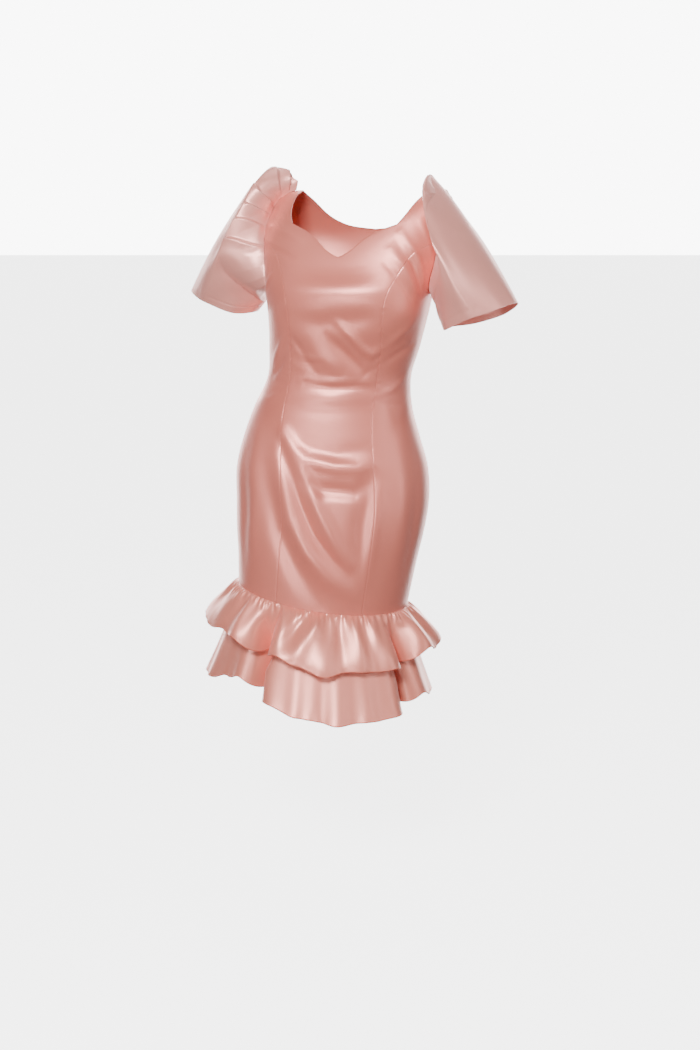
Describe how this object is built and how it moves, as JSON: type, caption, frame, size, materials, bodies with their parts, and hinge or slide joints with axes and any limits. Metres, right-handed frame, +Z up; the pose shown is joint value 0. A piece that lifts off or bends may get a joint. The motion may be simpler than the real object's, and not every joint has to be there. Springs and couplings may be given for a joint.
{
  "type": "dress",
  "caption": "Fitted princess-seamed satin dress with butterfly sleeves, a V-shaped neckline and a gathered ruffle of two tiers at the hem.",
  "frame": {"origin": "midway between the two shoulders at the height of the shoulder seams, where the wearer carries the dress", "axes": "+Z up, -Y to the front, +X to the wearer's left"},
  "size_m": [0.5708, 0.3728, 0.955],
  "materials": {
    "satin": "satin, blush pink",
    "zip": "enamelled to match the cloth"
  },
  "bodies": {
    "dress": {"front_centre": "satin", "front_side_left": "satin", "front_side_right": "satin", "back_left": "satin", "back_right": "satin", "sleeve_left": "satin", "sleeve_right": "satin", "ruffle_upper_front": "satin", "ruffle_upper_back": "satin", "ruffle_lower_front": "satin", "ruffle_lower_back": "satin", "zip_slider": "zip"},
    "pull": {"zip_pull": "zip"}
  },
  "joints": [
    {"name": "pull_swing", "type": "hinge", "parent": "dress", "child": "pull", "pos_m": [0.06122, 0.09933, -0.09377], "axis": [-0.9386, 0.3182, 0.1332], "range_deg": [-150, 0]}
  ]
}
